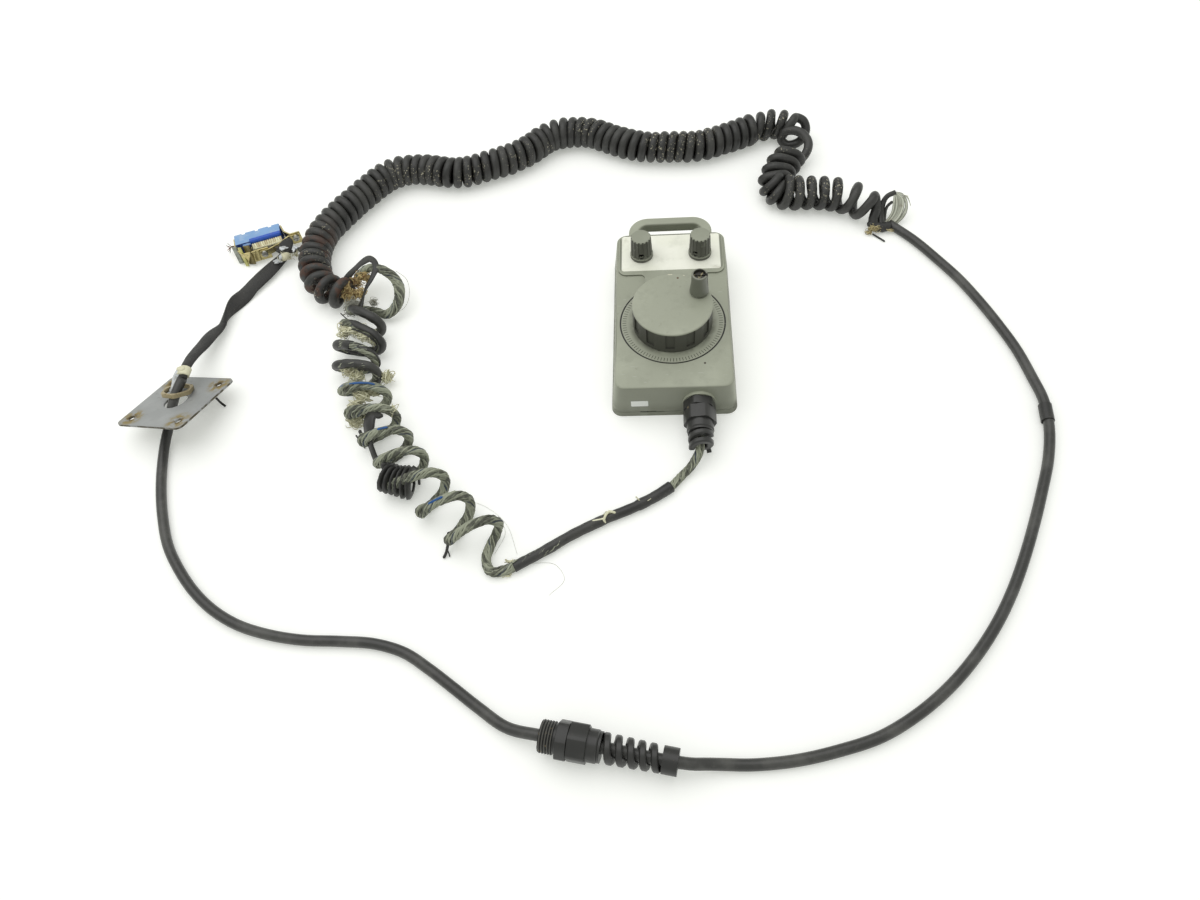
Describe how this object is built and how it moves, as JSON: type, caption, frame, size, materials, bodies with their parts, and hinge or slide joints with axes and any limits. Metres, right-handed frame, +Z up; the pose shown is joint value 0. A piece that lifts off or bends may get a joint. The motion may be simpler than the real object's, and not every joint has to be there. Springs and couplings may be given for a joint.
{
  "type": "pulse generator handwheel",
  "caption": "Hand-held manual pulse generator: cased cranked handwheel and two selector knobs, with its curly cord, glands, mounting plate and bare plug.",
  "frame": {"origin": "middle of the flat back of the case, which it rests on", "axes": "+Z up through the handwheel's axis, +Y along the case from the cord gland to the hanging loop, +X to the right seen from above"},
  "size_m": [0.7021, 0.5961, 0.0722],
  "materials": {
    "case_plastic": "grey-green moulded plastic, fine matt, used",
    "grip_plastic": "grey-green moulded plastic, satin, dirty in its flutes",
    "label": "off-white printed plate, bare",
    "sticker": "blank white paper sticker",
    "gland_black": "black nylon, satin",
    "cord_black": "black cord jacket",
    "conductors": "bare twisted conductors, grey-green and dusty",
    "fray": "frayed screen and wires, pale",
    "sleeve": "flat black sleeve, scuffed",
    "tie": "cream lacing tape",
    "tape": "black insulating tape",
    "plate_steel": "grey-blue steel sheet, rust stains round the holes",
    "nut_brass": "dull brass",
    "screw_steel": "zinc-plated steel",
    "dark_steel": "blackened steel",
    "plug_blue": "light blue moulded insulator",
    "contact": "gold-flashed brass",
    "bracket_gold": "yellow-passivated steel",
    "seal_rubber": "black rubber",
    "board_green": "green circuit board",
    "header_cream": "cream moulded header",
    "encoder_alloy": "dark anodised alloy",
    "can_steel": "drawn steel can",
    "switch_black": "black moulded switch body"
  },
  "bodies": {
    "pendant": {"front_case": "case_plastic", "rear_cover": "case_plastic", "case_gasket": "seal_rubber", "case_screws": "screw_steel", "hanging_loop": "case_plastic", "label_plate": "label", "asset_sticker": "sticker", "circuit_board": "board_green", "board_header": "header_cream", "board_screws": "screw_steel", "encoder_body": "encoder_alloy", "encoder_can": "can_steel", "encoder_sensor": "switch_black", "encoder_bearings": "screw_steel", "encoder_screws": "screw_steel", "axis_switch": "switch_black", "range_switch": "switch_black", "switch_nuts": "screw_steel", "gland_body": "gland_black", "gland_locknut": "gland_black", "gland_seal": "seal_rubber", "gland_nut": "gland_black", "gland_guard": "gland_black", "cord_bundle": "conductors", "cord_sheath": "cord_black", "cord_loose_coil": "conductors", "cord_frayed_loop": "fray", "cord_coil_west": "cord_black", "cord_coil_north": "cord_black", "cord_coil_middle": "cord_black", "cord_coil_east": "cord_black", "cord_coil_turn": "cord_black", "cord_coil_stretched": "cord_black", "cord_long_run": "cord_black", "cord_splice": "tape", "inline_body": "gland_black", "inline_seal": "seal_rubber", "inline_nut": "gland_black", "inline_guard": "gland_black", "cord_left_run": "cord_black", "mounting_plate": "plate_steel", "plate_locknut": "nut_brass", "cord_sleeve": "sleeve", "cord_ties": "tie", "plug_insulator": "plug_blue", "plug_contacts": "contact", "plug_brackets": "bracket_gold", "plug_screws": "screw_steel"},
    "wheel": {"handwheel": "case_plastic", "wheel_shaft": "screw_steel", "encoder_disc": "can_steel", "wheel_set_screws": "dark_steel", "crank_screw": "nut_brass"},
    "crank": {"crank_grip": "grip_plastic"},
    "axis_selector": {"axis_knob": "grip_plastic", "axis_shaft": "screw_steel", "axis_set_screw": "dark_steel"},
    "range_selector": {"range_knob": "grip_plastic", "range_shaft": "screw_steel", "range_set_screw": "dark_steel"}
  },
  "joints": [
    {"name": "wheel_turn", "type": "hinge", "parent": "pendant", "child": "wheel", "pos_m": [0, -0.0167, 0.043], "axis": [0, 0, 1], "continuous": true},
    {"name": "crank_spin", "type": "hinge", "parent": "wheel", "child": "crank", "pos_m": [0.02031, -0.0059, 0.0622], "axis": [0, 0, 1], "continuous": true},
    {"name": "axis_select", "type": "hinge", "parent": "pendant", "child": "axis_selector", "pos_m": [-0.0235, 0.0553, 0.0423], "axis": [0, 0, 1], "range_deg": [-60, 60]},
    {"name": "range_select", "type": "hinge", "parent": "pendant", "child": "range_selector", "pos_m": [0.0235, 0.0553, 0.0423], "axis": [0, 0, 1], "range_deg": [0, 60]}
  ]
}
